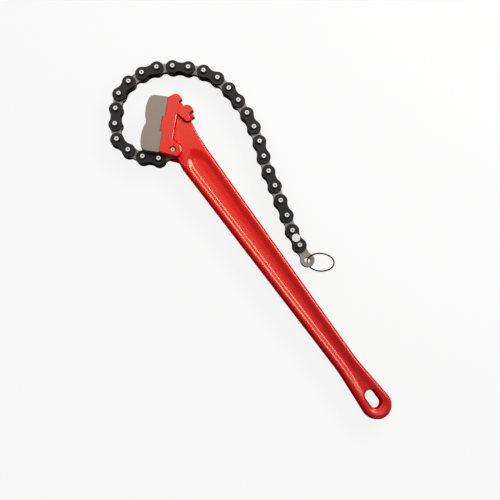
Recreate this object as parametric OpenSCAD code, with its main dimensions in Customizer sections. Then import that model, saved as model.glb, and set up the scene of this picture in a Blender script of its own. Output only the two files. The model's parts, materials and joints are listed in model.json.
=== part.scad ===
// Chain wrench: a forged lever handle with a forked head, a toothed jaw keyed to the
// head, and a leaf chain that goes round a pipe and hooks back on the head by its pins.
// The tool lies flat. +X runs along the handle to the hanging eye and +Z is up.
// The origin is on the lower cheek face, below the middle of the head.

/* [Chain] */
// Distance between neighbouring chain pins
chain_pitch = 19.05; // [17:0.05:21]
// Thickness of one chain plate
plate_t = 3; // [2:0.1:4]
// Width of a plate over its round ends
plate_end_d = 16.4; // [14:0.1:17]
// Width of a plate at its waist
plate_waist = 11.5; // [9:0.1:13]
// Side play between neighbouring plates
plate_gap = 0.2; // [0.1:0.05:0.4]
// Diameter of the link pins and of the anchor pin
pin_d = 6.35; // [5:0.05:7.5]
// Radial running clearance of the pins in the inner plates
pin_play = 0.05; // [0.02:0.01:0.1]
// Radial room round the pins that sit fast in the outer plates, the cheeks and the jaw
pin_seat_play = 0.01; // [0.005:0.005:0.02]
// Length of the link pins' ends past the outer plates
pin_out = 3; // [2.4:0.1:5]
// Chamfer on the pin ends
pin_chamfer = 0.6; // [0.2:0.1:1.2]
// Diameter of the dimple in each pin end
dimple_d = 2.2; // [1:0.1:3]
// Diameter of the plain disc on the last outer plate
disc_d = 9.6; // [6:0.1:10]
// Thickness of the plain disc
disc_t = 0.8; // [0.4:0.1:1.5]

/* [Pull ring] */
// Diameter of the ring at the middle of its wire
ring_d = 31; // [26:0.5:36]
// Thickness of the ring's wire
ring_wire = 1.8; // [1.2:0.1:2.2]
// Tilt of the ring out of the flat, in degrees
ring_tilt = 58; // [50:1:62]
// Direction from the end link to the ring, in degrees from the handle
ring_heading = 45; // [0:1:80]
// Room round the wire in the end link's hole
ring_play = 0.3; // [0.2:0.05:0.6]

/* [Head] */
// Thickness of the head over its two cheeks
head_t = 29; // [26:0.5:33]
// Room between the chain and each wall of the fork
slot_play = 0.5; // [0.3:0.05:1]
// Room between the round end of a plate and the floor of the fork
floor_play = 1.3; // [1:0.1:2]
// Turn of the jaw's seat from the handle, in degrees
seat_angle = 44; // [41:0.5:46]
// Middle of the jaw's seat along the handle
seat_x = -7.2; // [-9:0.1:-6]
// Middle of the jaw's seat across the handle
seat_y = -7.1; // [-8:0.1:-5]
// Width of the raised band behind the seat
cheek_band = 14; // [11:0.5:16]
// Distance of the anchor pin from the end of the seat, along the seat
anchor_in = 5.5; // [4.5:0.1:6.5]
// Distance of the anchor pin behind the seat
anchor_back = 15.6; // [14.5:0.1:16.5]
// Radius of the raised boss round the anchor pin
boss_r = 11; // [9:0.1:12]
// Depth of the anchor pin's ends below the cheek faces
anchor_recess = 0.8; // [0:0.1:2]
// Place of the first hook's pocket along the handle
hook_x = -16; // [-17:0.1:-15]
// Place of the first hook's pocket across the handle
hook_y = 26.3; // [25.5:0.1:28]
// Direction from the first pocket to the second, in degrees from the handle
hook_turn = 4; // [0:0.5:7]
// Radial room for a link pin in a hook's pocket
hook_play = 0.4; // [0.2:0.05:0.8]
// Radius of the round back of each hook
hook_r = 6.7; // [6:0.1:7.2]
// Distance from a pocket back to the middle of its hook
hook_back = 8.5; // [8:0.1:9]
// Rise of the first hook over its pocket
hook_rise_1 = 3; // [2:0.1:5]
// Rise of the second hook over its pocket
hook_rise_2 = 4.7; // [3:0.1:5.5]
// Distance that a hook's tip leans over its pocket
hook_lip = 1.4; // [0.8:0.1:1.8]
// Distance from the anchor pin to the heel of the head, along the handle
heel_out = 9.5; // [8.5:0.1:11]
// Distance from the anchor pin to the heel of the head, across the handle
heel_side = 1.4; // [0:0.1:3]

/* [Jaw] */
// Length of the jaw along its seat
jaw_w = 69; // [64:0.5:71]
// Depth of the jaw from its seat to the top of its lobes
jaw_depth = 24; // [20:0.5:27]
// Distance by which the jaw's faces lie below the cheek faces
jaw_inset = 0.3; // [0.2:0.05:1]
// Radius of the two toothed lobes
lobe_r = 44; // [38:0.5:60]
// Distance between the middles of the two lobes
lobe_gap = 34; // [30:0.5:36]
// Distance between teeth
tooth_pitch = 2.5; // [2.2:0.1:4]
// Depth of the teeth
tooth_depth = 0.9; // [0.4:0.1:1]
// Length that the jaw's corners lose along the seat
corner_w = 3.5; // [1:0.1:6]
// Depth that the jaw's corners lose towards the seat
corner_d = 8.4; // [5:0.1:12]
// Width of the key on the seat
key_w = 18; // [12:0.5:24]
// Height of the key
key_h = 2.8; // [1.5:0.1:4]
// Room round the key and the tongue
key_play = 0.15; // [0.1:0.05:0.3]
// Width of the jaw's tongue
tongue_w = 36; // [30:0.5:38]
// Length of the jaw's tongue
tongue_l = 13; // [11:0.5:14]
// Depth of the chain grooves in the ends of the jaw
jaw_groove = 6; // [4.5:0.1:8]
// Diameter of the two pins that hold the jaw
jaw_pin_d = 6; // [4:0.1:7]
// Distance between those two pins
jaw_pin_gap = 25; // [20:0.5:27]
// Distance of those pins behind the seat
jaw_pin_in = 6.5; // [5.5:0.1:8]
// Wall left over the blind ends of those pins
jaw_pin_wall = 3; // [2:0.1:4]

/* [Handle] */
// Depth of the beam, top face to bottom face
beam_t = 22; // [18:0.5:25]
// Place where the beam starts at full width
beam_x = 47; // [45:0.5:52]
// Width of the beam at its start
beam_w = 37.6; // [34:0.1:40]
// Place of the beam's waist
waist_x = 345; // [300:1:360]
// Width of the beam at its waist
waist_w = 25; // [22:0.1:28]
// Rounding of the beam's long edges
edge_r = 4; // [2:0.1:6]
// Width of the rim beside the dished faces
rim_w = 6.5; // [5:0.1:8]
// Depth of the dish at the head end
dish_depth = 3.6; // [2.5:0.1:5]
// Depth of the dish at the eye end
dish_end_depth = 2.4; // [1.5:0.1:3.5]
// Place of the middle of the eye
eye_x = 397.4; // [380:0.1:420]
// Radius of the eye
eye_r = 16.6; // [15:0.1:19]
// Length of the hole in the eye
eye_hole_l = 22; // [18:0.1:26]
// Width of the hole in the eye
eye_hole_w = 12.7; // [10:0.1:15]
// Wall past the hole at the tail end
eye_wall = 12.9; // [9:0.1:15]

/* [Hidden] */
$fn = 64;
// Steps of the arcs that are worked out point by point, in degrees
round_step = 10;
eye_step = 10;
edge_step = 22.5;

mid_z = head_t / 2;
// Over-run of a cut past the face that it starts from, and of a joined piece into its neighbour
cut_past = 1;
pocket_1 = [hook_x, hook_y];
pocket_2 = pocket_1 + chain_pitch * [cos(hook_turn), sin(hook_turn)];
pocket_r = pin_d / 2 + hook_play;

// Corners of the head: the two ends of the seat, the heel by the anchor and the shoulder
// behind the second pocket, where the head runs down to the beam
seat_axis = [cos(seat_angle), -sin(seat_angle)];
seat_in = [sin(seat_angle), cos(seat_angle)];
seat_top = [seat_x, seat_y] - jaw_w / 2 * seat_axis;
seat_foot = [seat_x, seat_y] + jaw_w / 2 * seat_axis;
anchor = seat_foot - anchor_in * seat_axis + anchor_back * seat_in;
heel = anchor + [heel_out, -heel_side];
shoulder = pocket_2 + [1.4, -4.2];
// Swell of the head's edge halfway from the shoulder to the beam
shoulder_swell = 1;
// Corners that round off a hook's tip, back from the lip and down from the top
tip_back = 1.2;
tip_ease = 0.4;
tip_drop = 2;
// Crease below the hooks where the raised head steps down, from the second pocket
crease = [[-17, -17.5], [-11, -14], [-1.5, -11.2], [3.1, -10.1], [4.5, -8.2], [6, 0]];
// Height of the blind ends of the jaw's pins
jaw_pin_top = head_t - jaw_pin_wall;

// Chain stack: two inner plates in the middle, one outer plate on each side
plate_r = plate_end_d / 2;
inner_z = plate_gap / 2;
outer_z = inner_z + plate_t + plate_gap;
chain_half = outer_z + plate_t;
pin_half = chain_half + pin_out;
slot_w = 2 * (chain_half + slot_play);
plate_room = plate_r + floor_play;
running_r = pin_d / 2 + pin_play;
seat_r = pin_d / 2 + pin_seat_play;
jaw_seat_r = jaw_pin_d / 2 + pin_seat_play;
// The flank of a plate is an arc that touches both round ends
flank_r =
    (pow(chain_pitch, 2) / 4 + pow(plate_waist, 2) / 4 - pow(plate_r, 2)) / (plate_end_d - plate_waist);

// The ring's hole lets the slanting wire through both inner plates
ring_hole_r = (inner_z + plate_t) / tan(ring_tilt) + ring_wire / 2 / sin(ring_tilt) + ring_play;

// Turn of the chain at each pin as it lies, from the anchor pin outwards, in degrees.
// The first one is the direction of the first link.
rest_turns = [
    -98, -35, -18, -19, -38, -8, -10, -26, -18, -14, -17, -9, -9, -15,
    -16, -9, -4, -7, -6, -5, 2, 6, -3, 2, -3, 7, 3
];
link_count = len(rest_turns);
pair_count = (link_count - 1) / 2;

function heading(i) = i < 0 ? 0 : rest_turns[i] + heading(i - 1);
function pin_xy(i) =
    i == 0 ? anchor : pin_xy(i - 1) + chain_pitch * [cos(heading(i - 1)), sin(heading(i - 1))];
function two_digits(i) = str(i < 10 ? "0" : "", i);
function inner_name(i) = str("inner_plates_", two_digits(i));
function outer_name(i) = str("outer_plates_", two_digits(i));
function pins_name(i) = str("link_pins_", two_digits(i));

// Half width of the beam at a place along the handle
function beam_half(x) =
    x < waist_x
        ? beam_w / 2 + (waist_w - beam_w) / 2 * (x - beam_x) / (waist_x - beam_x)
        : waist_w / 2 + (eye_r - waist_w / 2) * (x - waist_x) / (eye_x - waist_x);

paint = [0.84, 0.16, 0.12];
jaw_steel = [0.59, 0.55, 0.5];
blackened = [0.2, 0.19, 0.2];
grey_steel = [0.5, 0.48, 0.47];
bright_steel = [0.84, 0.83, 0.81];

// On the seat, +X runs from the hooks to the anchor and +Y goes into the head
module on_seat() {
    translate([seat_x, seat_y]) rotate(-seat_angle) children();
}

// A slab of a flat outline, centred on the middle plane of the tool
module slab(thickness) {
    translate([0, 0, mid_z - thickness / 2]) linear_extrude(thickness) children();
}

// A turned pin with chamfered ends and a dimple in each end
module turned_pin(d, low, high, chamfer, dimple) {
    rotate_extrude()
        polygon([
            [0, low + dimple / 3], [dimple / 2, low], [d / 2 - chamfer, low], [d / 2, low + chamfer],
            [d / 2, high - chamfer], [d / 2 - chamfer, high], [dimple / 2, high], [0, high - dimple / 3]
        ]);
}

// Figure-of-eight plate from the origin to one pitch along +X
module plate_outline() {
    touch = plate_r / (plate_r + flank_r);
    touch_x = touch * chain_pitch / 2;
    touch_y = touch * (plate_waist / 2 + flank_r);
    for (x = [0, chain_pitch])
        translate([x, 0]) circle(plate_r);
    difference() {
        translate([touch_x, -touch_y]) square([chain_pitch - 2 * touch_x, 2 * touch_y]);
        for (side = [-1, 1])
            translate([chain_pitch / 2, side * (plate_waist / 2 + flank_r)]) circle(flank_r);
    }
}

// Two like plates either side of the middle plane, off it by a distance
module plate_pair(off, near_r, far_r) {
    for (z = [mid_z + off, mid_z - off - plate_t])
        translate([0, 0, z])
            difference() {
                linear_extrude(plate_t) plate_outline();
                translate([0, 0, -cut_past]) cylinder(h = plate_t + 2 * cut_past, r = near_r);
                translate([chain_pitch, 0, -cut_past]) cylinder(h = plate_t + 2 * cut_past, r = far_r);
            }
}

// Places children on a link of the chain, counted from the anchor
module on_link(i) {
    translate(pin_xy(i - 1)) rotate(heading(i - 1)) children();
}

module inner_plates(i) {
    color(grey_steel) on_link(2 * i - 1) plate_pair(inner_z, running_r, running_r);
}

module outer_plates(i) {
    color(blackened) on_link(2 * i) plate_pair(outer_z, seat_r, seat_r);
}

module link_pins(i) {
    color(bright_steel)
        on_link(2 * i)
            for (x = [0, chain_pitch])
                translate([x, 0])
                    turned_pin(pin_d, mid_z - pin_half, mid_z + pin_half, pin_chamfer, dimple_d);
}

module end_link() {
    color(grey_steel) on_link(link_count) plate_pair(inner_z, running_r, ring_hole_r);
}

module marker_disc() {
    color(bright_steel)
        on_link(2 * pair_count)
            translate([chain_pitch / 2, 0, mid_z + chain_half]) cylinder(h = disc_t, d = disc_d);
}

module pull_ring() {
    color(grey_steel)
        translate([pin_xy(link_count)[0], pin_xy(link_count)[1], mid_z])
            rotate(ring_heading)
                translate([ring_d / 2, 0])
                    rotate([ring_tilt, 0])
                        rotate_extrude() translate([ring_d / 2, 0]) circle(d = ring_wire);
}

module chain_anchor_pin() {
    color(bright_steel)
        translate(anchor)
            turned_pin(pin_d, anchor_recess, head_t - anchor_recess, pin_chamfer, dimple_d);
}

module on_jaw_pins() {
    on_seat()
        for (side = [-1, 1])
            translate([side * jaw_pin_gap / 2, jaw_pin_in]) children();
}

module jaw_pins() {
    color(bright_steel) on_jaw_pins() turned_pin(jaw_pin_d, jaw_inset, jaw_pin_top, pin_chamfer, dimple_d);
}

module jaw_pin_bores() {
    on_jaw_pins() translate([0, 0, -cut_past]) cylinder(h = jaw_pin_top + cut_past, r = jaw_seat_r);
}

// Jaw outline on the seat: two round lobes on a block with cut corners
module jaw_outline() {
    intersection() {
        polygon([
            [-jaw_w / 2, 0], [-jaw_w / 2, corner_d - jaw_depth], [corner_w - jaw_w / 2, -jaw_depth],
            [jaw_w / 2 - corner_w, -jaw_depth], [jaw_w / 2, corner_d - jaw_depth], [jaw_w / 2, 0]
        ]);
        union() {
            for (side = [-1, 1])
                translate([side * lobe_gap / 2, lobe_r - jaw_depth]) circle(lobe_r, $fn = 180);
            translate([-jaw_w / 2, -jaw_depth / 2]) square([jaw_w, jaw_depth]);
        }
    }
}

// Grooves between the teeth of both lobes
module tooth_grooves() {
    step = tooth_pitch / lobe_r * 180 / PI;
    reach = floor(asin((lobe_gap / 2 - tooth_depth) / lobe_r) / step - 0.5);
    for (side = [-1, 1], k = [-reach : reach])
        translate([side * lobe_gap / 2, lobe_r - jaw_depth])
            rotate(k * step)
                translate([0, -lobe_r]) rotate(45) square(tooth_depth * sqrt(2), center = true);
}

module jaw() {
    tongue_t = slot_w - 2 * key_play;
    tongue_root = key_h + cut_past;
    color(jaw_steel)
        difference() {
            union() {
                difference() {
                    on_seat()
                        slab(head_t - 2 * jaw_inset)
                            difference() {
                                jaw_outline();
                                tooth_grooves();
                                translate([-key_w / 2 - key_play, -key_h - key_play])
                                    square([key_w + 2 * key_play, key_h + cut_past]);
                            }
                    on_seat()
                        slab(slot_w)
                            for (side = [-1, 1])
                                translate([side * jaw_w / 2, -jaw_depth / 2])
                                    square([2 * jaw_groove, 2 * jaw_depth], center = true);
                }
                on_seat()
                    slab(tongue_t)
                        translate([-tongue_w / 2, -tongue_root])
                            square([tongue_w, tongue_l + tongue_root]);
            }
            jaw_pin_bores();
        }
}

// A round-backed hook whose tip leans over the pocket at the origin
module hook_outline(rise) {
    tip = pocket_r - hook_lip;
    foot = -pocket_r - cut_past;
    translate([-hook_back, rise - hook_r]) circle(hook_r);
    polygon([
        [-hook_back, rise], [-tip - tip_back, rise - tip_ease], [-tip, rise - tip_drop],
        [-tip, foot], [-hook_back, foot]
    ]);
}

// Whole head without the jaw, seen from above
module head_outline() {
    difference() {
        union() {
            polygon([
                seat_foot, seat_top, pocket_1 + [-hook_back - hook_r, hook_rise_1 - hook_r],
                pocket_1 - [0, pocket_r], pocket_2 - [hook_back, pocket_r], pocket_2 - [0, pocket_r],
                shoulder, [(shoulder[0] + beam_x) / 2, beam_w / 2 + shoulder_swell], [beam_x, beam_w / 2],
                [beam_x, -beam_w / 2], heel
            ]);
            translate(pocket_1) hook_outline(hook_rise_1);
            translate(pocket_2) hook_outline(hook_rise_2);
            on_seat() translate([-key_w / 2, -key_h]) square([key_w, key_h + cut_past]);
        }
        for (pocket = [pocket_1, pocket_2])
            translate(pocket) circle(pocket_r);
    }
}

// Lower field of the head, between the band, the anchor boss and the hooks
module field_outline() {
    difference() {
        polygon(concat(
            [for (p = crease) pocket_2 + p],
            [[beam_x + cut_past, beam_w], [beam_x + cut_past, -beam_w], heel - [0, beam_w]]
        ));
        on_seat() translate([-jaw_w / 2, -key_h]) square([2 * jaw_w, cheek_band + key_h]);
        translate(anchor) circle(boss_r);
    }
}

// Fork that lets the chain in at the hooks and at the anchor, and holds the jaw's tongue
module fork_outline() {
    reach = jaw_w + head_t;
    floor_y = hook_y - plate_room;
    translate([pocket_2[0] - reach, floor_y]) square([reach, reach]);
    translate(pocket_2) circle(plate_room);
    translate(anchor) circle(plate_room);
    translate(anchor - [plate_room, reach]) square([2 * plate_room, reach]);
    on_seat()
        translate([-tongue_w / 2 - key_play, -key_h - cut_past])
            square([tongue_w + 2 * key_play, tongue_l + key_h + cut_past + key_play]);
}

// Plan of the beam and its round eye, drawn in from the edge by a distance
function beam_plan(inset) =
    concat(
        [for (x = [beam_x - edge_r, waist_x]) [x, inset - beam_half(x)]],
        [for (a = [-90 : eye_step : 90]) [eye_x, 0] + (eye_r - inset) * [cos(a), sin(a)]],
        [for (x = [waist_x, beam_x - edge_r]) [x, beam_half(x) - inset]]
    );

// Straight beam with the eye at its end, all long edges rounded
module beam() {
    rolls = [for (a = [0 : edge_step : 90]) edge_r * [1 - sin(a), 1 - cos(a)]];
    layers = concat(
        [for (roll = rolls) [roll[0], roll[1]]],
        [for (k = [len(rolls) - 1 : -1 : 0]) [rolls[k][0], beam_t - rolls[k][1]]]
    );
    around = len(beam_plan(0));
    top = around * (len(layers) - 1);
    // The flat faces are strips from each point to its mirror point across the handle
    strips = [
        for (k = [0 : floor(around / 2) - 1])
            let (far = around - 1 - k) far - k > 2 ? [k, k + 1, far - 1, far] : [k, k + 1, far]
    ];
    translate([0, 0, mid_z - beam_t / 2])
        polyhedron(
            points = [for (layer = layers, p = beam_plan(layer[0])) [p[0], p[1], layer[1]]],
            faces = concat(
                strips,
                [
                    for (low = [0 : around : top - 1], k = [0 : around - 1])
                        let (next = (k + 1) % around, high = low + around)
                            [low + k, high + k, high + next, low + next]
                ],
                [for (strip = strips) [for (k = [len(strip) - 1 : -1 : 0]) top + strip[k]]]
            )
        );
}

// Dish in the top face: a long cone with round ends, deep at the head and shallow at the eye
module dish() {
    start_x = beam_x + edge_r;
    end_x = waist_x + edge_r;
    start_half = beam_half(start_x) - rim_w;
    end_half = beam_half(end_x) - rim_w;
    start_r = (pow(start_half, 2) + pow(dish_depth, 2)) / (2 * dish_depth);
    end_r = (pow(end_half, 2) + pow(dish_end_depth, 2)) / (2 * dish_end_depth);
    face_z = mid_z + beam_t / 2;
    from = [start_x, 0, face_z + start_r - dish_depth];
    to = [end_x, 0, face_z + end_r - dish_end_depth];
    run = to - from;
    length = norm(run);
    translate(from)
        rotate([0, 90 + asin(-run[2] / length), 0])
            rotate_extrude()
                polygon(concat(
                    [for (a = [-90 : round_step : 0]) start_r * [cos(a), sin(a)]],
                    [for (a = [0 : round_step : 90]) [0, length] + end_r * [cos(a), sin(a)]]
                ));
}

module eye_hole() {
    hole_r = eye_hole_w / 2;
    far_x = eye_x + eye_r - eye_wall - hole_r;
    near_x = far_x - eye_hole_l + eye_hole_w;
    for (x = [near_x, far_x])
        translate([x, 0, -cut_past]) cylinder(h = head_t + 2 * cut_past, r = hole_r);
    translate([near_x, -hole_r, -cut_past])
        cube([far_x - near_x, eye_hole_w, head_t + 2 * cut_past]);
}

module handle() {
    color(paint)
        difference() {
            union() {
                slab(beam_t) head_outline();
                slab(head_t)
                    difference() {
                        head_outline();
                        field_outline();
                    }
                beam();
            }
            slab(slot_w) fork_outline();
            dish();
            translate([0, 0, mid_z]) mirror([0, 0, 1]) translate([0, 0, -mid_z]) dish();
            eye_hole();
            jaw_pin_bores();
            translate([anchor[0], anchor[1], -cut_past]) cylinder(h = head_t + 2 * cut_past, r = seat_r);
        }
}

handle();
jaw();
jaw_pins();
chain_anchor_pin();
for (i = [1 : pair_count]) {
    inner_plates(i);
    outer_plates(i);
    link_pins(i);
}
end_link();
pull_ring();
marker_disc();
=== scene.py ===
"""Looks of a chain wrench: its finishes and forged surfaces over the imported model, and a stage."""

import json
import math

import bmesh
import bpy
from bpy.props import FloatProperty, FloatVectorProperty, PointerProperty
from mathutils import Matrix, Vector

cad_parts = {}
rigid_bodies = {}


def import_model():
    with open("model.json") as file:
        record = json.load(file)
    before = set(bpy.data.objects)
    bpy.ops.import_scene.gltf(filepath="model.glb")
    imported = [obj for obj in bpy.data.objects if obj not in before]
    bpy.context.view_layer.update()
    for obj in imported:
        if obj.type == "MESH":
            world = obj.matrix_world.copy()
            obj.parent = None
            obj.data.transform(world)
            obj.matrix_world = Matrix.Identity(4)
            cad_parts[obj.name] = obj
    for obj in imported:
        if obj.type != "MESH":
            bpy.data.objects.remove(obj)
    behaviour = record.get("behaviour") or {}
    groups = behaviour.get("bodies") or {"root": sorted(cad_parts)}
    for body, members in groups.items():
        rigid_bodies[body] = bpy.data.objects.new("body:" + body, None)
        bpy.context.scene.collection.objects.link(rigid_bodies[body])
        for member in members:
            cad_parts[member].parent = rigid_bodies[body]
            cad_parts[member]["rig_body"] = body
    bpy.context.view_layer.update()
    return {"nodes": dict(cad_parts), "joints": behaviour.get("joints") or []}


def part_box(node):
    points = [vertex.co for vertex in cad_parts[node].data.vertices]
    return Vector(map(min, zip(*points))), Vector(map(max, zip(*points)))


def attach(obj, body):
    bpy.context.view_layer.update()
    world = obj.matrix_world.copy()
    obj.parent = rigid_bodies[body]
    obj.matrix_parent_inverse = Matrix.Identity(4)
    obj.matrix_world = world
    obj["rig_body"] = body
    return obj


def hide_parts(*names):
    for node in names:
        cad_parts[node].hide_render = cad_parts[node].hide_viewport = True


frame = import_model()

bl_info = {
    "name": "Chain wrench",
    "version": (1, 0, 0),
    "blender": (4, 5, 0),
    "location": "View3D > Sidebar > Wrench",
    "description": "Finishes the pieces of a chain wrench and sets a stage for it",
    "category": "Object",
}

MM = 0.001

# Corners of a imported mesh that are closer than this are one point
WELD = 0.001 * MM

# The forging's box, its middle plane, and the heights of its faces from that plane
HANDLE_LOW, HANDLE_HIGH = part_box("handle")
MID_Z = (HANDLE_LOW.z + HANDLE_HIGH.z) / 2
HEAD_TOP = (HANDLE_HIGH.z - HANDLE_LOW.z) / 2
BEAM_TOP = 11 * MM

# The beam: half widths where it leaves the head and at its waist, and the round eye with its slot
BEAM_X = 47 * MM
BEAM_HALF = 18.8 * MM
WAIST_X = 345 * MM
WAIST_HALF = 12.5 * MM
WAIST_BLEND = 0.3 * MM
EYE_R = 16.6 * MM
EYE_X = HANDLE_HIGH.x - EYE_R
HOLE_R = 6.35 * MM
HOLE_NEAR_X = 385.45 * MM
HOLE_FAR_X = 394.75 * MM

# The two edges from the head to the beam: where the head ends, and places along the handle with half widths
SHOULDER_X = 8 * MM
SHOULDER = [(4.4 * MM, 23.4 * MM), (25.7 * MM, 19.8 * MM), (BEAM_X, BEAM_HALF)]
HEEL_X = 34 * MM
HEEL = [(HEEL_X, 17.4 * MM), (BEAM_X, BEAM_HALF)]

# The cheek: the jaw's seat, the raised band behind it, the boss round the anchor pin, and the web
# from the boss to the band
SEAT = Vector((-7.2, -7.1)) * MM
SEAT_ANGLE = math.radians(44)
BAND_W = 14 * MM
ANCHOR = Vector(frame["joints"][0]["pos_m"])
PIN_R = 3.175 * MM
BOSS_R = 10.4 * MM
WEB = Vector((-19.2, -5.2)) * MM

# The hooks' pockets, and the edge of the raised hooks from the second pocket in millimetres
POCKET_1 = Vector((-16, 26.3)) * MM
POCKET_2 = Vector((3.0, 27.63)) * MM
POCKET_R = 3.6 * MM
CREASE = [
    (-17, -17.5), (-11.2, -14), (-8.8, -13.2), (-5.6, -13),
    (0.7, -12.1), (3.2, -10.5), (4.3, -8.4), (6, 0),
]

# Cross-sections of the step from the raised cheek to the field: distance into the field, and height left
BAND_PROFILE = [(-1.5 * MM, 1.0), (0.0, 0.79), (1.0 * MM, 0.0)]
CREASE_PROFILE = [(-0.4 * MM, 1.0), (0.0, 0.9), (0.5 * MM, 0.08), (0.9 * MM, 0.0)]

# Part of a face's normal that points straight up or down, below which the face counts as a side
PAINT_SIDE = 0.72
PLATE_SIDE = 0.9
PIN_SIDE = 0.8

# Angles between two faces, in degrees: still flat, sharp enough to be rounded over, and sharp to the eye
FLAT_DEGREES = 0.5
ROUND_DEGREES = 35
SHARP_DEGREES = 40


def linear(code):
    """Linear colour of an sRGB hex value such as #D7261E."""
    parts = [int(code[k:k + 2], 16) / 255 for k in (1, 3, 5)]
    return tuple(c / 12.92 if c <= 0.04045 else ((c + 0.055) / 1.055) ** 2.4 for c in parts)


def smooth(t):
    """Eases from 0 to 1 as t goes from 0 to 1."""
    t = min(max(t, 0.0), 1.0)
    return t * t * (3 - 2 * t)


def colour(name, description, code):
    """A colour setting with an sRGB hex default."""
    return FloatVectorProperty(name=name, description=description, subtype="COLOR", size=3, min=0, max=1,
                               default=linear(code))


def length(name, description, millimetres):
    """A length setting with its default in millimetres."""
    return FloatProperty(name=name, description=description, unit="LENGTH", precision=5,
                         default=millimetres * MM)


def ratio(name, description, default):
    """A setting between 0 and 1."""
    return FloatProperty(name=name, description=description, subtype="FACTOR", min=0, max=1, default=default)


def watts(name, description, default):
    """A lamp's power setting."""
    return FloatProperty(name=name, description=description, unit="POWER", default=default)


class WrenchHandleSettings(bpy.types.PropertyGroup):
    """Sizes and colours of the painted forging."""

    grain: length("Mesh grain", "Size of the cells that the forging's mesh is rebuilt with", 0.84)
    bead: length("Bead radius", "Rounding of the beam's rims", 4.2)
    trough_depth: length("Trough depth", "Depth of the trough between the rims", 3.3)
    trough_wall: length("Trough wall", "Width of the slope from a rim down to the trough's floor", 7.6)
    hole_round: length("Hole rounding", "Rounding of the hanging hole's edges", 2.6)
    draft: ratio("Draft", "Slope of the beam's sides from the parting line", 0.05)
    # The two reds differ as painted light: lighter at the head and deeper at the eye, where the light falls
    # off
    red_head: colour("Red at the head", "Paint colour at the head", "#E60F16")
    red_tail: colour("Red at the eye", "Paint colour at the eye", "#CE081C")
    # Painted shade: this dark red darkens the steep walls of the hooks' pockets and a ring round the anchor
    # pin
    recess_shade_red: colour("Dull red", "Colour of the thin, dirty paint by the pockets and the pin", "#4A0306")


class WrenchSteelSettings(bpy.types.PropertyGroup):
    """Sizes and colours of the bare and blackened steel."""

    plate_edge: length("Plate edge", "Rounding of the stamped plates' edges", 0.45)
    jaw_edge: length("Jaw edge", "Rounding of the jaw's edges", 0.55)
    disc_edge: length("Disc edge", "Rounding of the plain disc's edge", 0.2)
    dimple: length("Dimple", "Radius round a pin's axis that the dimple in its end takes", 1.15)
    black: colour("Blackened plate", "Colour of the outer plates", "#1F1D1F")
    # Painted shade: the plates' sides take this colour, darker than their faces
    edge: colour("Plate edges", "Colour of the plates' sheared edges", "#161516")
    grey: colour("Bare plate", "Colour of the inner plates and the end link", "#9A938E")
    jaw: colour("Jaw", "Colour of the jaw", "#988C82")
    bright: colour("Bright pins", "Colour of the pin ends", "#E0DEDA")
    oiled: colour("Anchor pin", "Colour of the oiled anchor pin", "#E0C8A8")
    # Painted shade: the pins' dimples take this colour as a dark dot
    dimple_shade: colour("Dimples", "Colour of the dirt in the pins' dimples", "#726D6A")
    wire: colour("Ring wire", "Colour of the pull ring", "#54463E")
    disc: colour("Disc", "Colour of the plain disc", "#EDEDEB")


class WrenchStageSettings(bpy.types.PropertyGroup):
    """Floor, light and camera."""

    floor: colour("Floor", "Colour of the floor", "#D8DADC")
    key_power: watts("Key light", "Power of the key light", 8.8)
    end_power: watts("End light", "Power of the light past the head", 21)
    top_power: watts("Top light", "Power of the overhead light", 1.3)
    fill: ratio("Fill", "Strength of the even light from all round", 0.2)
    sweep: ratio("White sweep", "Share of plain white in the floor as it is seen", 0.87)
    lens: FloatProperty(name="Lens", description="Focal length of the camera", default=50.4, unit="CAMERA")


def add_node(tree, kind, values=None, links=None, **settings):
    """Adds a node with its settings, socket values and incoming links."""
    node = tree.nodes.new(kind)
    for name, value in settings.items():
        setattr(node, name, value)
    for name, value in (values or {}).items():
        node.inputs[name].default_value = value
    for name, socket in (links or {}).items():
        tree.links.new(socket, node.inputs[name])
    return node


def new_material(name, **values):
    """A material with a Principled shader: the material, its tree, the shader and object coordinates."""
    material = bpy.data.materials.new(name)
    material.use_nodes = True
    tree = material.node_tree
    shader = tree.nodes["Principled BSDF"]
    for key, value in values.items():
        shader.inputs[key.replace("_", " ")].default_value = value
    coords = add_node(tree, "ShaderNodeTexCoord").outputs["Object"]
    return material, tree, shader, coords


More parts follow.
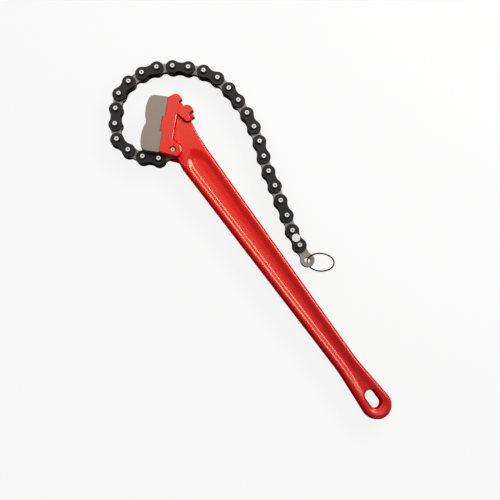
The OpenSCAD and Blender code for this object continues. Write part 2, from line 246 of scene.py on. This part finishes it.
def red_enamel(name, settings, roughness, depth=1.0, **surface):
    """Enamel sprayed on a drop forging: soft orange peel and slow waves over the hammered steel."""
    material, tree, shader, coords = new_material(name, **surface)
    # Painted light: the red is lighter at the head and deepens toward the eye, as the light falls off along
    # the handle
    place = add_node(tree, "ShaderNodeSeparateXYZ", links={"Vector": coords})
    along = add_node(tree, "ShaderNodeMapRange", {"From Min": 30 * MM, "From Max": EYE_X},
                     {"Value": place.outputs["X"]}, interpolation_type="SMOOTHSTEP")
    reds = add_node(tree, "ShaderNodeMix", {"A": (*settings.red_head, 1), "B": (*settings.red_tail, 1)},
                    {"Factor": along.outputs["Result"]}, data_type="RGBA")
    # Drifts of thicker and thinner paint about 25 mm across
    drift = add_node(tree, "ShaderNodeTexNoise", {"Scale": 1 / (25 * MM), "Detail": 3.0},
                     {"Vector": coords})
    # A depth under 1 darkens the red as painted shade
    shade = add_node(tree, "ShaderNodeMapRange", {"To Min": 0.94 * depth, "To Max": 1.05 * depth},
                     {"Value": drift.outputs["Fac"]})
    tint = add_node(tree, "ShaderNodeVectorMath", {},
                    {0: reds.outputs["Result"], 1: shade.outputs["Result"]}, operation="MULTIPLY")
    # Painted shade: a dark red on the steep walls of the hooks' pockets and in a ring round the anchor pin
    shade_mask = add_node(tree, "ShaderNodeAttribute", attribute_name="shade_mask").outputs["Fac"]
    masked_red = add_node(tree, "ShaderNodeMix", {"B": (*settings.recess_shade_red, 1)},
                      {"Factor": shade_mask, "A": tint.outputs["Vector"]}, data_type="RGBA")
    tree.links.new(masked_red.outputs["Result"], shader.inputs["Base Color"])
    # Orange peel 1.2 mm across over forging waves 9 mm across
    peel = add_node(tree, "ShaderNodeTexNoise", {"Scale": 1 / (1.2 * MM), "Detail": 2.0},
                    {"Vector": coords})
    waves = add_node(tree, "ShaderNodeTexNoise", {"Scale": 1 / (9 * MM), "Detail": 1.0},
                     {"Vector": coords})
    slow = add_node(tree, "ShaderNodeBump", {"Strength": 0.12, "Distance": 0.25 * MM},
                    {"Height": waves.outputs["Fac"]})
    fine = add_node(tree, "ShaderNodeBump", {"Strength": 0.07, "Distance": 0.05 * MM},
                    {"Height": peel.outputs["Fac"], "Normal": slow.outputs["Normal"]})
    tree.links.new(fine.outputs["Normal"], shader.inputs["Normal"])
    gloss = add_node(tree, "ShaderNodeMapRange", {"To Min": roughness - 0.04, "To Max": roughness + 0.04},
                     {"Value": drift.outputs["Fac"]})
    # Hands wear the gloss off toward the eye
    worn = add_node(tree, "ShaderNodeMath", {1: 0.13},
                    {0: along.outputs["Result"], 2: gloss.outputs["Result"]}, operation="MULTIPLY_ADD")
    tree.links.new(worn.outputs["Value"], shader.inputs["Roughness"])
    return material


def recess_shade_enamel(settings):
    """Matt paint in a dark red that is painted shade, in the hooks' pockets and round the anchor pin."""
    material, tree, shader, coords = new_material("painted_shade_red_enamel", Specular_IOR_Level=0.3)
    # Patches about 3 mm across where more of the red comes through
    patches = add_node(tree, "ShaderNodeTexNoise", {"Scale": 1 / (3 * MM), "Detail": 3.0},
                       {"Vector": coords})
    part = add_node(tree, "ShaderNodeMapRange", {"From Min": 0.4, "From Max": 0.9, "To Max": 0.5},
                    {"Value": patches.outputs["Fac"]})
    tint = add_node(tree, "ShaderNodeMix", {"A": (*settings.recess_shade_red, 1), "B": (*settings.red_tail, 1)},
                    {"Factor": part.outputs["Result"]}, data_type="RGBA")
    tree.links.new(tint.outputs["Result"], shader.inputs["Base Color"])
    gloss = add_node(tree, "ShaderNodeMapRange", {"To Min": 0.55, "To Max": 0.75},
                     {"Value": patches.outputs["Fac"]})
    tree.links.new(gloss.outputs["Result"], shader.inputs["Roughness"])
    return material


def steel(name, tint, roughness, metallic, grain_mm, contrast, bump_mm, specular=0.5):
    """Bare or treated steel with a tone mottled over about 6 mm and a fine tumbled grain, in one colour."""
    material, tree, shader, coords = new_material(name, Metallic=metallic, Specular_IOR_Level=specular)
    mottle = add_node(tree, "ShaderNodeTexNoise", {"Scale": 1 / (6 * MM), "Detail": 4.0, "Roughness": 0.6},
                      {"Vector": coords})
    shade = add_node(tree, "ShaderNodeMapRange", {"To Min": 1 - contrast, "To Max": 1 + contrast},
                     {"Value": mottle.outputs["Fac"]})
    toned = add_node(tree, "ShaderNodeVectorMath", {0: tuple(tint)}, {1: shade.outputs["Result"]},
                     operation="MULTIPLY")
    tree.links.new(toned.outputs["Vector"], shader.inputs["Base Color"])
    grain = add_node(tree, "ShaderNodeTexNoise", {"Scale": 1 / (grain_mm * MM), "Detail": 2.0},
                     {"Vector": coords})
    relief = add_node(tree, "ShaderNodeBump", {"Strength": 0.3, "Distance": bump_mm * MM},
                      {"Height": grain.outputs["Fac"]})
    tree.links.new(relief.outputs["Normal"], shader.inputs["Normal"])
    gloss = add_node(tree, "ShaderNodeMapRange", {"To Min": roughness - 0.08, "To Max": roughness + 0.08},
                     {"Value": mottle.outputs["Fac"]})
    tree.links.new(gloss.outputs["Result"], shader.inputs["Roughness"])
    return material


def new_piece(name, work, node, slot, *materials):
    """Makes a mesh object from a bmesh, in place of a CAD node and riding on that node's body."""
    mesh = bpy.data.meshes.new(name)
    work.to_mesh(mesh)
    work.free()
    piece = bpy.data.objects.new(name, mesh)
    bpy.context.scene.collection.objects.link(piece)
    for material in materials:
        mesh.materials.append(material)
    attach(piece, frame["nodes"][node]["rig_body"])
    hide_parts(node)
    return piece


def merged_copy(node):
    """A bmesh of a CAD node's mesh with its loose triangles joined."""
    work = bmesh.new()
    work.from_mesh(frame["nodes"][node].data)
    bmesh.ops.remove_doubles(work, verts=work.verts[:], dist=WELD)
    return work


def sharp_edges(work, degrees):
    """Edges of a bmesh where two faces meet at more than an angle."""
    limit = math.radians(degrees)
    return [e for e in work.edges if len(e.link_faces) == 2 and e.calc_face_angle(0) > limit]


def edged_copy(node, rounding):
    """A CAD node's mesh with flat faces made whole and its sharp edges rounded over."""
    work = merged_copy(node)
    bmesh.ops.dissolve_limit(work, angle_limit=math.radians(FLAT_DEGREES), verts=work.verts[:],
                             edges=work.edges[:])
    if rounding:
        bmesh.ops.bevel(work, geom=sharp_edges(work, ROUND_DEGREES), offset=rounding, offset_type="OFFSET",
                        segments=2, profile=0.5, affect="EDGES", clamp_overlap=True, material=-1)
    for face in work.faces:
        face.smooth = True
    for edge in sharp_edges(work, SHARP_DEGREES):
        edge.smooth = False
    return work


def even_shading(piece):
    """Lets large flat faces keep flat shading beside their rounded edges."""
    modifier = piece.modifiers.new("even_shading", "WEIGHTED_NORMAL")
    modifier.keep_sharp = True
    modifier.weight = 50


def line_value(points, x):
    """Value at x on a line through points, held at its ends."""
    if x <= points[0][0]:
        return points[0][1]
    for (x0, y0), (x1, y1) in zip(points, points[1:]):
        if x <= x1:
            return y0 + (y1 - y0) * (x - x0) / (x1 - x0)
    return points[-1][1]


def beam_half(x):
    """Half width of the beam: a taper and a flare that run into each other softly."""
    taper = BEAM_HALF + (WAIST_HALF - BEAM_HALF) * (x - BEAM_X) / (WAIST_X - BEAM_X)
    flare = WAIST_HALF + (EYE_R - WAIST_HALF) * (x - WAIST_X) / (EYE_X - WAIST_X)
    return (taper + flare) / 2 + math.hypot((taper - flare) / 2, WAIST_BLEND)


def half_width(x, y):
    """Half width of the forging at a place along the handle, on the side that y is on."""
    if x > BEAM_X:
        return beam_half(x)
    return line_value(SHOULDER if y > 0 else HEEL, x)


def head_end(y):
    """Place along the handle where the head ends, on the side that y is on."""
    return SHOULDER_X if y > 0 else HEEL_X


def segment_distance(p, a, b):
    """Distance from p to the line piece from a to b, negative on its right side."""
    run = b - a
    t = min(max((p - a).dot(run) / run.length_squared, 0), 1)
    gap = p - a - run * t
    side = run.x * (p.y - a.y) - run.y * (p.x - a.x)
    return gap.length if side > 0 else -gap.length


def field_distances(x, y):
    """How far a point lies inside the cheek's lower field, from the band, the boss and the hooks."""
    p = Vector((x, y))
    local = p - SEAT
    behind = local.x * math.sin(SEAT_ANGLE) + local.y * math.cos(SEAT_ANGLE)
    corners = [POCKET_2 + Vector(c) * MM for c in CREASE]
    crease = min((segment_distance(p, a, b) for a, b in zip(corners, corners[1:])), key=abs)
    from_web = abs(segment_distance(p, ANCHOR.to_2d(), ANCHOR.to_2d() + WEB))
    return behind - BAND_W, from_web - BOSS_R, -crease


class HandleShape:
    """The true surfaces of the forging, onto which its rough mesh is drawn."""

    # The trough starts as half an ellipse, like the tip of a spoon
    SPOON_X = 62 * MM
    SPOON_LONG = 27 * MM
    # Share of its depth that the walls take, the rest being a slow bow across its floor
    WALL_SHARE = 0.86
    # It loses a share of its depth between two places on its way to the hanging hole
    FADE_FROM = 342 * MM
    FADE_TO = 382 * MM
    FADE_SHARE = 0.35
    # Share of the bead's radius that the upper edges have at the head's end, and how far along the beam
    # they have grown to the whole of it
    HEAD_ROUND = 0.3
    ROUND_PAST = 6 * MM
    # Depth under the true surface down to which points of the rough mesh are drawn onto it
    BEAM_SKIN = 2.5 * MM
    HEAD_SKIN = 2 * MM
    # Part of the normal that points straight up or down, over which a point of the cheek counts as flat
    FLAT_FACE = 0.96
    # Reach of the step round the field, out of it and into it, and of the finer mesh there and by the bore
    STEP_OUT = -1.7 * MM
    STEP_IN = 3 * MM
    FINE_OUT = -2.2 * MM
    FINE_IN = 2.6 * MM
    FINE_BORE = 2 * MM
    # The finer mesh on the rims starts at the first place, and from the second it takes the whole upper side
    FINE_RIM_X = 20 * MM
    FINE_EYE_X = 325 * MM
    # Painted shade round the anchor pin: a full ring and the width that it fades over, and its reach round a
    # pocket
    SHADE_RING = 0.3 * MM
    SHADE_FADE = 0.8 * MM
    SHADE_POCKET = 1.2 * MM
    # In a pocket it lies on steep faces: the upright part of the normal where it starts to thin out, and
    # the change over which it ends
    SHADE_LEAN = 0.35
    SHADE_LEAN_FADE = 0.4

    def __init__(self, settings):
        self.bead = settings.bead
        self.depth = settings.trough_depth
        self.wall = settings.trough_wall
        self.hole_round = settings.hole_round
        self.draft = settings.draft

    def trough(self, x, y):
        """Depth of the trough below the rims at a point."""
        half = beam_half(max(x, self.SPOON_X)) - self.bead
        if x < self.SPOON_X:
            inside = half * (1 - math.hypot((self.SPOON_X - x) / self.SPOON_LONG, y / half))
        elif x > EYE_X:
            inside = EYE_R - self.bead - math.hypot(x - EYE_X, y)
        else:
            inside = half - abs(y)
        if inside <= 0:
            return 0.0
        fade = 1 - self.FADE_SHARE * smooth((x - self.FADE_FROM) / (self.FADE_TO - self.FADE_FROM))
        walls = self.WALL_SHARE * smooth(inside / self.wall)
        bow = (1 - self.WALL_SHARE) * smooth(inside / half)
        return self.depth * fade * (walls + bow)

    def by_step(self, co):
        """Whether a point lies by the step round the field or by the mouth of the anchor's bore."""
        if co.x > BEAM_X or abs(co.z - MID_Z) < BEAM_TOP - self.HEAD_SKIN:
            return False
        from_bore = (co - ANCHOR).to_2d().length - PIN_R
        step = min(field_distances(co.x, co.y))
        return self.FINE_OUT < step < self.FINE_IN or from_bore < self.FINE_BORE

    def by_rim(self, co):
        """Whether a point lies on the upper side's rims or on its eye, where the light draws lines."""
        if co.x < self.FINE_RIM_X or co.z < MID_Z + BEAM_TOP - self.bead - MM:
            return False
        return co.x > self.FINE_EYE_X or beam_half(max(co.x, BEAM_X)) - abs(co.y) < self.bead + MM

    def shade_mask(self, co, normal):
        """How much painted shade a point takes: full on steep faces in the hooks' pockets and round the
        anchor pin.
        """
        flat = co.to_2d()
        from_pin = (flat - ANCHOR.to_2d()).length - PIN_R
        ring = 1 - smooth((from_pin - self.SHADE_RING) / self.SHADE_FADE)
        from_pocket = min((flat - POCKET_1).length, (flat - POCKET_2).length) - POCKET_R
        steep = 1 - smooth((abs(normal.z) - self.SHADE_LEAN) / self.SHADE_LEAN_FADE)
        return max(ring, steep * (from_pocket < self.SHADE_POCKET))

    def top(self, x, y):
        """Height of the upper face over the middle plane at a point."""
        height = BEAM_TOP - self.trough(x, y)
        if x < BEAM_X:
            band, boss, crease = field_distances(x, y)
            left = max(line_value(BAND_PROFILE, band), line_value(BAND_PROFILE, boss),
                       line_value(CREASE_PROFILE, crease))
            height += (HEAD_TOP - BEAM_TOP) * left
        return height

    def rounding(self, x, y):
        """Radius of the upper edge at a place along the handle."""
        start = head_end(y)
        grown = smooth((x - start) / (BEAM_X + self.ROUND_PAST - start))
        return self.bead * (self.HEAD_ROUND + (1 - self.HEAD_ROUND) * grown)

    def lean(self, x, y, side):
        """Normal of the upper or the lower face at a point."""
        step = 0.2 * MM
        slope_x = self.top(x + step, y) - self.top(x - step, y)
        slope_y = self.top(x, y + step) - self.top(x, y - step)
        return Vector((-slope_x, -slope_y, 2 * step * side)).normalized()

    def roll(self, inward, up, top, radius):
        """Draws a point near an edge onto its rounding: distance in from the side, height, and normal."""
        if up <= top - radius:
            return 0.0, up, Vector((1, 0))
        out = Vector((radius - inward, up - top + radius))
        if out.x <= 0:
            return inward, top, Vector((0, 1))
        out.normalize()
        return radius - out.x * radius, top - radius + out.y * radius, out

    def settle(self, co, normal):
        """The place on the true surface for a point of the rough mesh, and the surface's normal there."""
        x, y = co.x, co.y
        up = abs(co.z - MID_Z)
        side = 1 if co.z > MID_Z else -1
        if x < head_end(y):
            return self.settle_head(co, normal, up, side)
        top = self.top(x, y)
        if x <= EYE_X:
            out = Vector((0, 1 if y > 0 else -1))
            inward = half_width(x, y) - abs(y)
        else:
            out = Vector((x - EYE_X, y))
            inward = EYE_R - out.length
            out.normalize()
        nearest = Vector((min(max(x, HOLE_NEAR_X), HOLE_FAR_X), 0))
        from_hole = Vector((x, y)) - nearest
        hole_gap = from_hole.length - HOLE_R
        radius = self.rounding(x, y)
        if hole_gap < self.hole_round:
            new_gap, new_up, facing = self.roll(hole_gap, up, top, self.hole_round)
            away = from_hole.normalized()
            flat = nearest + away * (HOLE_R + new_gap)
            face = -away * facing.x
            place = Vector((flat.x, flat.y, MID_Z + side * new_up))
            return place, Vector((face.x, face.y, facing.y * side))
        if inward < radius:
            new_in, new_up, facing = self.roll(inward, up, top, radius)
            new_in += self.draft * min(new_up, top - radius)
            face = self.outward(x, y, out) * facing.x
            place = Vector((x, y, MID_Z + side * new_up)) + (out * (inward - new_in)).to_3d()
            return place, Vector((face.x, face.y, facing.y * side))
        if up > top - self.BEAM_SKIN:
            return Vector((x, y, MID_Z + side * top)), self.lean(x, y, side)
        return co, normal

    def outward(self, x, y, out):
        """Direction that the forging's side faces, which turns with its taper."""
        if x > EYE_X:
            return out
        step = 0.5 * MM
        taper = (half_width(x + step, y) - half_width(x - step, y)) / (2 * step)
        return Vector((-taper, out.y)).normalized()

    def settle_head(self, co, normal, up, side):
        """Flattens the cheek faces and shapes the step between the band and the field."""
        top = self.top(co.x, co.y)
        if up < top - self.HEAD_SKIN:
            return co, normal
        step = min(field_distances(co.x, co.y))
        if abs(normal.z) > self.FLAT_FACE or self.STEP_OUT < step < self.STEP_IN:
            return Vector((co.x, co.y, MID_Z + side * top)), self.lean(co.x, co.y, side)
        return co, normal


class WRENCH_OT_handle(bpy.types.Operator):
    """Forge the painted handle: rounded rims, a smooth trough, a stepped head and a round eye"""

    bl_idname = "wrench.handle"
    bl_label = "Handle"

    SMOOTH_PASSES = 4
    # Painted shade on every corner of a face over which the whole face takes the dark red
    SHADE_FROM = 0.5
    # Angle between cells that still counts as flat, in degrees
    CELL_DEGREES = 0.2

    def blank(self, context, grain):
        """The forging's solid rebuilt in even cells and smoothed, as a bmesh."""
        work = merged_copy("handle")
        solid = bpy.data.meshes.new("rough_forging")
        work.to_mesh(solid)
        work.free()
        holder = bpy.data.objects.new("rough_forging", solid)
        context.scene.collection.objects.link(holder)
        remesh = holder.modifiers.new("cells", "REMESH")
        remesh.mode = "VOXEL"
        remesh.voxel_size = grain
        cells = bpy.data.meshes.new_from_object(holder.evaluated_get(context.evaluated_depsgraph_get()))
        bpy.data.objects.remove(holder)
        bpy.data.meshes.remove(solid)
        work = bmesh.new()
        work.from_mesh(cells)
        bpy.data.meshes.remove(cells)
        for _ in range(self.SMOOTH_PASSES):
            bmesh.ops.smooth_vert(work, verts=work.verts[:], factor=0.5,
                                  use_axis_x=True, use_axis_y=True, use_axis_z=True)
        return work

    def draw_onto(self, work, shape):
        """Refines the mesh where the surface turns quickly and moves it onto the true surfaces."""
        fine = {v for v in work.verts if shape.by_step(v.co) or shape.by_rim(v.co)}
        edges = [e for e in work.edges if all(v in fine for v in e.verts)]
        bmesh.ops.subdivide_edges(work, edges=edges, cuts=1, use_grid_fill=True)
        work.normal_update()
        settled = [shape.settle(v.co, v.normal) for v in work.verts]
        facing = work.verts.layers.float_vector.new("facing")
        for vert, (place, normal) in zip(work.verts, settled):
            vert.co = place
            vert[facing] = normal
        bmesh.ops.recalc_face_normals(work, faces=work.faces[:])
        work.normal_update()

    def part_finishes(self, work, shape):
        """Marks the painted shade, and parts the faces into gloss, shaded dark red and matt paint."""
        shade_mask = work.verts.layers.float.new("shade_mask")
        for vert in work.verts:
            vert[shade_mask] = shape.shade_mask(vert.co, vert.normal)
        for face in work.faces:
            face.smooth = True
            in_shade = min(v[shade_mask] for v in face.verts) > self.SHADE_FROM
            upright = abs(face.normal.z) < PAINT_SIDE
            face.material_index = 1 if in_shade else 2 * upright

    def execute(self, context):
        settings = context.scene.wrench_handle
        shape = HandleShape(settings)
        work = self.blank(context, settings.grain)
        self.draw_onto(work, shape)
        self.part_finishes(work, shape)
        # Flat stretches need no cells, and keep the true normals at the points that are left
        bmesh.ops.dissolve_limit(work, angle_limit=math.radians(self.CELL_DEGREES), verts=work.verts[:],
                                 edges=work.edges[:], delimit={"MATERIAL"})
        facing = work.verts.layers.float_vector["facing"]
        normals = [Vector(vert[facing]) for vert in work.verts]
        work.verts.layers.float_vector.remove(facing)
        # Gloss coat: the light draws crisp, warm lines along the rims
        gloss = red_enamel("gloss_red_enamel", settings, 0.17, Specular_IOR_Level=0.8,
                           Specular_Tint=(1, 0.74, 0.46, 1), Coat_Weight=0.1, Coat_Roughness=0.08)
        # The sides are ground along the parting line and dull, and their red is darkened a fifth as painted
        # shade
        matt = red_enamel("matt_red_enamel", settings, 0.6, depth=0.8, Specular_IOR_Level=0.0)
        piece = new_piece("forged_handle", work, "handle", "red_paint", gloss, recess_shade_enamel(settings), matt)
        piece.data.normals_split_custom_set_from_vertices(normals)
        return {"FINISHED"}


class WRENCH_OT_jaw(bpy.types.Operator):
    """Finish the toothed jaw in bare heat treated steel"""

    bl_idname = "wrench.jaw"
    bl_label = "Jaw"

    def execute(self, context):
        settings = context.scene.wrench_steel
        # Ground and tempered: an even, warm grey satin with hardly any mottle
        finish = steel("heat_treated_jaw_steel", settings.jaw, roughness=0.5, metallic=0.85,
                       grain_mm=0.5, contrast=0.05, bump_mm=0.02)
        work = edged_copy("jaw", settings.jaw_edge)
        even_shading(new_piece("toothed_jaw", work, "jaw", "jaw_steel", finish))
        return {"FINISHED"}


class WRENCH_OT_plates(bpy.types.Operator):
    """Finish the chain's plates: blackened outside, bare inside and on the end link"""

    bl_idname = "wrench.plates"
    bl_label = "Chain plates"

    def execute(self, context):
        settings = context.scene.wrench_steel
        # Oil blackened stampings: a soft, near black satin, patchy where the oil has dried
        black = steel("blackened_plate_steel", settings.black, roughness=0.42, metallic=0.0,
                      grain_mm=0.6, contrast=0.15, bump_mm=0.03, specular=0.28)
        # Tumbled bare stampings: a warm grey satin
        grey = steel("bare_plate_steel", settings.grey, roughness=0.42, metallic=0.6,
                     grain_mm=0.6, contrast=0.08, bump_mm=0.02)
        # Painted shade: the plates' sheared sides are darker than their faces and reflect nothing, a dead
        # black line round each plate
        edges = steel("painted_shade_plate_sides", settings.edge, roughness=0.6, metallic=0.0,
                      grain_mm=0.6, contrast=0.1, bump_mm=0.02, specular=0.0)
        for node in sorted(frame["nodes"]):
            if node.startswith("outer_plates"):
                finish, slot = black, "black_plate"
            elif node.startswith("inner_plates") or node == "end_link":
                finish, slot = grey, "grey_plate"
            else:
                continue
            work = edged_copy(node, settings.plate_edge)
            for face in work.faces:
                face.material_index = int(abs(face.normal.z) < PLATE_SIDE)
            even_shading(new_piece("stamped_" + node, work, node, slot, finish, edges))
        return {"FINISHED"}


class WRENCH_OT_pins(bpy.types.Operator):
    """Finish the link pins in bright plate, and the anchor pin and the jaw's pins in oiled steel"""

    bl_idname = "wrench.pins"
    bl_label = "Pins"

    def execute(self, context):
        settings = context.scene.wrench_steel
        # Ends faced and nickel plated: small bright rings
        bright = steel("nickel_plated_pin_steel", settings.bright, roughness=0.4, metallic=0.6,
                       grain_mm=0.4, contrast=0.05, bump_mm=0.01)
        # Bare ends under old oil: a bronze tone
        oiled = steel("oiled_anchor_pin_steel", settings.oiled, roughness=0.5, metallic=0.7,
                      grain_mm=0.5, contrast=0.15, bump_mm=0.02)
        # Painted shade in the dimples of the pin ends: a dull grey dot
        dimple_shade = steel("painted_shade_dimple_steel", settings.dimple_shade, roughness=0.6, metallic=0.2,
                       grain_mm=0.5, contrast=0.1, bump_mm=0.02)
        # Painted shade: the pins' sides and chamfers take the plates' near black
        black = steel("painted_shade_pin_steel", settings.black, roughness=0.5, metallic=0.0,
                      grain_mm=0.6, contrast=0.15, bump_mm=0.02, specular=0.25)
        axes = [Vector(joint["pos_m"]).to_2d() for joint in frame["joints"]]
        for node in sorted(frame["nodes"]):
            if not (node.startswith("link_pins") or node in ("chain_anchor_pin", "jaw_pins")):
                continue
            work = edged_copy(node, 0)
            for face in work.faces:
                reach = max(min((v.co.to_2d() - axis).length for axis in axes) for v in face.verts)
                side = abs(face.normal.z) < PIN_SIDE
                face.material_index = 2 if side else int(reach < settings.dimple)
            end = bright if node.startswith("link_pins") else oiled
            even_shading(new_piece("turned_" + node, work, node, "bright_pin", end, dimple_shade, black))
        return {"FINISHED"}


class WRENCH_OT_trim(bpy.types.Operator):
    """Finish the pull ring and the plain disc on the last outer link"""

    bl_idname = "wrench.trim"
    bl_label = "Ring and disc"

    def execute(self, context):
        settings = context.scene.wrench_steel
        # Drawn wire browned with age: a dark line with a thin glint
        wire = steel("drawn_ring_wire", settings.wire, roughness=0.35, metallic=0.9,
                     grain_mm=0.8, contrast=0.12, bump_mm=0.02)
        ring = frame["nodes"]["pull_ring"]
        ring.data.materials.clear()
        ring.data.materials.append(wire)
        # Satin aluminium: a near white spot
        finish = steel("satin_aluminium_disc", settings.disc, roughness=0.4, metallic=0.6,
                       grain_mm=0.5, contrast=0.04, bump_mm=0.01)
        work = edged_copy("marker_disc", settings.disc_edge)
        even_shading(new_piece("plain_marker_disc", work, "marker_disc", "disc_face", finish))
        return {"FINISHED"}


class WRENCH_OT_stage(bpy.types.Operator):
    """Set the floor, the soft studio lights and the camera"""

    bl_idname = "wrench.stage"
    bl_label = "Stage"

    # Half of the floor's side, in metres
    FLOOR_HALF = 6
    # Each light's place, the point that it is aimed at, and its size, in metres
    KEY = ((0.1, 0.82, 0.68), (0.1, 0.0, 0.0), (0.8, 0.3))
    END = ((-1.3, 0.1, 1.0), (0.0, 0.0, 0.0), (2.4, 2.4))
    TOP = ((-0.1, 0.55, 1.8), (-0.1, 0.55, 0.0), (0.7, 0.6))
    # Tints of the lights, the sweep and the fill
    WARM = (1, 0.97, 0.92)
    WHITE = (1, 1, 1)
    # Camera's axes and place over the tool, the axes being its right, up and back
    RIGHT = (0.5883, 0.8085, 0.0169)
    UP = (-0.7986, 0.5776, 0.1689)
    BACK = (0.1268, -0.1129, 0.9855)
    CAMERA = (0.2756, -0.1032, 0.817)

    def lay_floor(self, scene, settings):
        """A pale matt floor that the camera and the metal see as a white sweep with a soft shadow."""
        work = bmesh.new()
        bmesh.ops.create_grid(work, x_segments=1, y_segments=1, size=self.FLOOR_HALF)
        mesh = bpy.data.meshes.new("floor")
        work.to_mesh(mesh)
        work.free()
        floor = bpy.data.objects.new("floor", mesh)
        scene.collection.objects.link(floor)
        material, tree, shader, _ = new_material("pale_matt_floor", Roughness=0.9, Specular_IOR_Level=0.1)
        shader.inputs["Base Color"].default_value = (*settings.floor, 1)
        rays = add_node(tree, "ShaderNodeLightPath").outputs
        clear = add_node(tree, "ShaderNodeMath", {},
                         {0: rays["Is Glossy Ray"], 1: rays["Is Transmission Ray"]}, operation="MAXIMUM")
        seen = add_node(tree, "ShaderNodeMath", {},
                        {0: rays["Is Camera Ray"], 1: clear.outputs["Value"]}, operation="MAXIMUM")
        share = add_node(tree, "ShaderNodeMath", {1: settings.sweep}, {0: seen.outputs["Value"]},
                         operation="MULTIPLY")
        white = add_node(tree, "ShaderNodeEmission", {"Color": (*self.WHITE, 1), "Strength": 1.0})
        blend = add_node(tree, "ShaderNodeMixShader", {},
                         {"Fac": share.outputs["Value"], 1: shader.outputs["BSDF"],
                          2: white.outputs["Emission"]})
        tree.links.new(blend.outputs["Shader"], tree.nodes["Material Output"].inputs["Surface"])
        mesh.materials.append(material)

    def hang_light(self, scene, name, place, aim, size, power, tint):
        """A rectangular soft light at a place, aimed at a point."""
        lamp = bpy.data.lights.new(name, "AREA")
        lamp.shape = "RECTANGLE"
        lamp.size, lamp.size_y = size
        lamp.energy = power
        lamp.color = tint
        light = bpy.data.objects.new(name, lamp)
        light.location = place
        light.rotation_euler = (Vector(aim) - Vector(place)).to_track_quat("-Z", "Y").to_euler()
        scene.collection.objects.link(light)

    def fill_world(self, scene, strength):
        """Even white light from all round."""
        world = bpy.data.worlds.new("studio")
        world.use_nodes = True
        background = world.node_tree.nodes["Background"]
        background.inputs["Color"].default_value = (*self.WHITE, 1)
        background.inputs["Strength"].default_value = strength
        scene.world = world

    def set_camera(self, scene, focal_length):
        """The camera, looking down on the tool."""
        lens = bpy.data.cameras.new("camera")
        lens.sensor_width = 36
        lens.lens = focal_length
        lens.clip_start = 0.01
        camera = bpy.data.objects.new("camera", lens)
        axes = Matrix((self.RIGHT, self.UP, self.BACK)).transposed()
        camera.matrix_world = Matrix.Translation(self.CAMERA) @ axes.to_4x4()
        scene.collection.objects.link(camera)
        scene.camera = camera

    def execute(self, context):
        scene = context.scene
        settings = scene.wrench_stage
        self.lay_floor(scene, settings)
        self.hang_light(scene, "key", *self.KEY, settings.key_power, self.WARM)
        self.hang_light(scene, "end", *self.END, settings.end_power, self.WARM)
        self.hang_light(scene, "top", *self.TOP, settings.top_power, self.WHITE)
        self.fill_world(scene, settings.fill)
        self.set_camera(scene, settings.lens)
        scene.view_settings.view_transform = "Standard"
        return {"FINISHED"}


SETTINGS = {
    "wrench_handle": WrenchHandleSettings,
    "wrench_steel": WrenchSteelSettings,
    "wrench_stage": WrenchStageSettings,
}
STEPS = (WRENCH_OT_stage, WRENCH_OT_handle, WRENCH_OT_jaw, WRENCH_OT_plates, WRENCH_OT_pins, WRENCH_OT_trim)


class WRENCH_PT_panel(bpy.types.Panel):
    """Lists the settings and the steps that finish the wrench"""

    bl_label = "Chain wrench"
    bl_idname = "WRENCH_PT_panel"
    bl_space_type = "VIEW_3D"
    bl_region_type = "UI"
    bl_category = "Wrench"

    def draw(self, context):
        for group in SETTINGS:
            box = self.layout.box()
            settings = getattr(context.scene, group)
            for name in settings.__annotations__:
                box.prop(settings, name)
        for step in STEPS:
            self.layout.operator(step.bl_idname)


def register():
    """Registers the settings, the operators and the panel."""
    for name, group in SETTINGS.items():
        bpy.utils.register_class(group)
        setattr(bpy.types.Scene, name, PointerProperty(type=group))
    for step in STEPS:
        bpy.utils.register_class(step)
    bpy.utils.register_class(WRENCH_PT_panel)


def unregister():
    """Takes them out again."""
    bpy.utils.unregister_class(WRENCH_PT_panel)
    for step in reversed(STEPS):
        bpy.utils.unregister_class(step)
    for name, group in SETTINGS.items():
        delattr(bpy.types.Scene, name)
        bpy.utils.unregister_class(group)


def main():
    """Runs every step in order."""
    register()
    bpy.ops.wrench.stage()
    bpy.ops.wrench.handle()
    bpy.ops.wrench.jaw()
    bpy.ops.wrench.plates()
    bpy.ops.wrench.pins()
    bpy.ops.wrench.trim()


if __name__ == "__main__":
    main()
